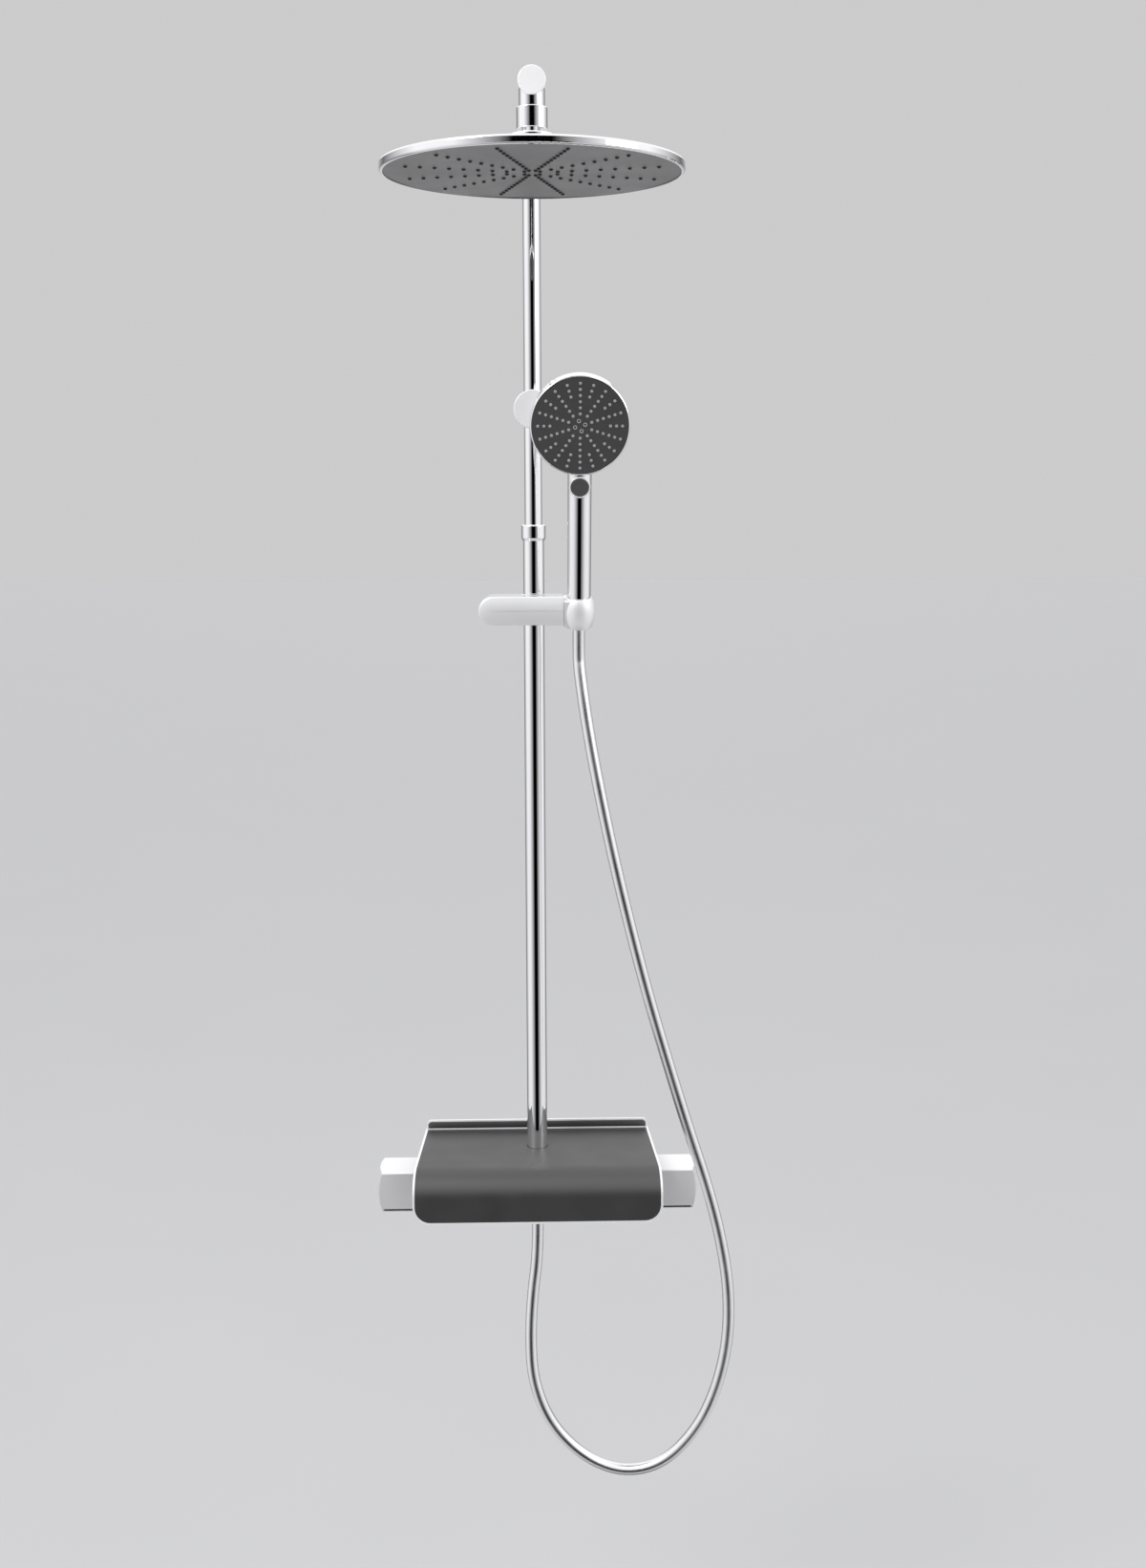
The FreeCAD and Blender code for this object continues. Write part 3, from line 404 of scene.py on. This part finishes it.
def make_hose(material):
    line = hose_line()
    rings = rings_along(line, HOSE_RADIUS, HOSE_SIDES)
    lowest = min(range(len(line)), key=lambda n: line[n].z)
    # the record's hose is hidden once, by this span
    stands_for_hose = "hose_bend"

    def first_past(height, rising):
        if rising:
            return next(n for n in range(lowest, len(line)) if line[n].z >= height)
        return next(n for n in range(lowest) if line[n].z <= height)

    rising_ends = (BEND_END, SLEEVE_SPAN_END, SWIVEL_SPAN_END, TILT_SPAN_END)
    cuts = [0, first_past(LEFT_LIMB_END, False)]
    cuts += [first_past(height, True) for height in rising_ends] + [len(line) - 1]
    at = [line[c] for c in cuts]
    middle_x = Vector((FAR_AWAY, 0, 0))
    # each span's name, the two bodies on either side of it, and a start and an end point:
    spans = [
        ("hose_left_limb", "mixer", "slider_sleeve", at[0],
         Vector((at[0].x, at[0].y, 2 * at[1].z - at[0].z))),
        ("hose_bend", "mixer", "slider_sleeve", at[1] - middle_x, at[1] + middle_x),
        ("hose_right_limb", "mixer", "slider_sleeve",
         Vector((at[3].x, at[3].y, 2 * at[2].z - at[3].z)), at[3]),
        ("hose_swivel_span", "slider_sleeve", "slider", at[3], at[4]),
        ("hose_tilt_span", "slider", "holder", at[4], at[5]),
        ("hose_lift_span", "holder", "hose_end", at[5], at[6]),
    ]
    for n, (name, body_a, body_b, start, end) in enumerate(spans):
        first, last = cuts[n], cuts[n + 1] + 1
        points, faces = wrap(rings[first:last])
        span = paint(mesh_object(name, points, faces, 80), material)
        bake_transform(span)
        if name == stands_for_hose:
            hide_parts("hose")


# ---- studio --------------------------------------------------------------------------------------

FLOOR_HEIGHT, FLOOR_HALF = -0.75, 30
BACKDROP, WHITE = 0.60, 0.98
# greys that the metal reflects. Walls, by degrees either way from straight in front of the column: a dark
# card in front, white sides and dark corners behind
WALL_GREYS = [(0, 0.0), (15, 0.0), (25, 0.25), (60, 0.95), (95, 1.0), (145, 0.15), (180, 0.75)]
# by height, from 0 straight down to 1 straight up: how bright it all is, and how much of the walls is seen
HEIGHT_GREYS = [(0.0, 0.16), (0.02, 0.22), (0.06, 0.62), (0.25, 0.85), (0.5, 1.0), (0.7, 1.1), (1.0, 1.15)]
WALL_SHARES = [(0.0, 0.0), (0.17, 0.0), (0.20, 1.0), (0.615, 1.0), (0.623, 0.0), (1.0, 0.0)]
# each softbox: name, place, side in metres, power in watts
SOFTBOXES = [("key_light", (-1.6, -1.5, 2.4), 1.2, 26), ("fill_light", (1.9, -1.2, 1.4), 1.0, 10)]
SOFTBOX_AIM = (0, -0.1, 0.5)


def ramp(tree, source, stops):
    node = tree.nodes.new("ShaderNodeValToRGB")
    marks = node.color_ramp.elements
    while len(marks) > 1:
        marks.remove(marks[-1])
    marks[0].position, marks[0].color = stops[0][0], (*grey(stops[0][1]), 1)
    for at, level in stops[1:]:
        marks.new(at).color = (*grey(level), 1)
    tree.links.new(source, node.inputs["Fac"])
    return node.outputs["Color"]


def make_surroundings():
    # what the metal reflects, and the plain backdrop that the camera sees
    world = bpy.data.worlds.new("studio")
    scene.world = world
    world.use_nodes = True
    tree = world.node_tree
    tree.nodes.clear()

    def maths(operation, a, b):
        node = tree.nodes.new("ShaderNodeMath")
        node.operation = operation
        for socket, value in zip(node.inputs, (a, b)):
            if isinstance(value, (int, float)):
                socket.default_value = value
            else:
                tree.links.new(value, socket)
        return node.outputs["Value"]

    def mixed(share, a, b, blend_type="MIX"):
        node = tree.nodes.new("ShaderNodeMix")
        node.data_type = "RGBA"
        node.blend_type = blend_type
        for socket, value in ((node.inputs["Factor"], share), (node.inputs["A"], a), (node.inputs["B"], b)):
            if isinstance(value, (int, float, tuple)):
                socket.default_value = value
            else:
                tree.links.new(value, socket)
        return node.outputs["Result"]

    where = tree.nodes.new("ShaderNodeTexCoord")
    split = tree.nodes.new("ShaderNodeSeparateXYZ")
    tree.links.new(where.outputs["Generated"], split.inputs["Vector"])
    x, y, z = (split.outputs[axis] for axis in "XYZ")
    # around is 0.5 straight in front of the column, growing to its right
    around = maths("ARCTAN2", x, maths("MULTIPLY", y, -1.0))
    around = maths("ADD", maths("DIVIDE", around, 2 * math.pi), 0.5)
    height = maths("ADD", maths("MULTIPLY", z, 0.5), 0.5)

    def at(degrees):
        return 0.5 + degrees / 360

    left_half = [(at(-degrees), level) for degrees, level in reversed(WALL_GREYS[1:])]
    walls = ramp(tree, around, left_half + [(at(degrees), level) for degrees, level in WALL_GREYS])
    lit = mixed(ramp(tree, height, WALL_SHARES), (WHITE, WHITE, WHITE, 1), walls)
    lit = mixed(1.0, lit, ramp(tree, height, HEIGHT_GREYS), "MULTIPLY")
    # the camera itself sees a plain pale backdrop
    rays = tree.nodes.new("ShaderNodeLightPath")
    seen = mixed(rays.outputs["Is Camera Ray"], lit, (BACKDROP, BACKDROP, BACKDROP, 1))
    background = tree.nodes.new("ShaderNodeBackground")
    output = tree.nodes.new("ShaderNodeOutputWorld")
    tree.links.new(seen, background.inputs["Color"])
    tree.links.new(background.outputs["Background"], output.inputs["Surface"])


def make_floor():
    signs = [(-1, -1), (1, -1), (1, 1), (-1, 1)]
    corners = [(x * FLOOR_HALF, y * FLOOR_HALF, FLOOR_HEIGHT) for x, y in signs]
    floor = mesh_object("floor", corners, [(0, 1, 2, 3)])
    paint(floor, finish("pale_floor", grey(0.50), grey(0.53), 0.0, (0.6, 0.7), 2, 300))
    floor.visible_glossy = False


def softbox(name, at, side, power):
    data = bpy.data.lights.new(name, "AREA")
    data.size = side
    data.energy = power
    lamp = link(bpy.data.objects.new(name, data))
    lamp.location = at
    lamp.rotation_euler = (Vector(SOFTBOX_AIM) - Vector(at)).to_track_quat("-Z", "Y").to_euler()
    lamp.visible_camera = False


def make_studio():
    make_surroundings()
    make_floor()
    for name, at, side, power in SOFTBOXES:
        softbox(name, at, side, power)
    scene.view_settings.view_transform = "Standard"


make_camera()
FINISHES = make_finishes()
make_hose(FINISHES["hose_skin"])
rail_face(FINISHES["anthracite"])
slider_face(FINISHES["satin_chrome"])
knob_painted_reflection_strips(FINISHES["black_rubber"])
handset_back(FINISHES["chrome"])
button_ring(FINISHES["satin_chrome"])
handset_nozzles(FINISHES["pale_silicone"])
finish_nodes(FINISHES)
make_studio()
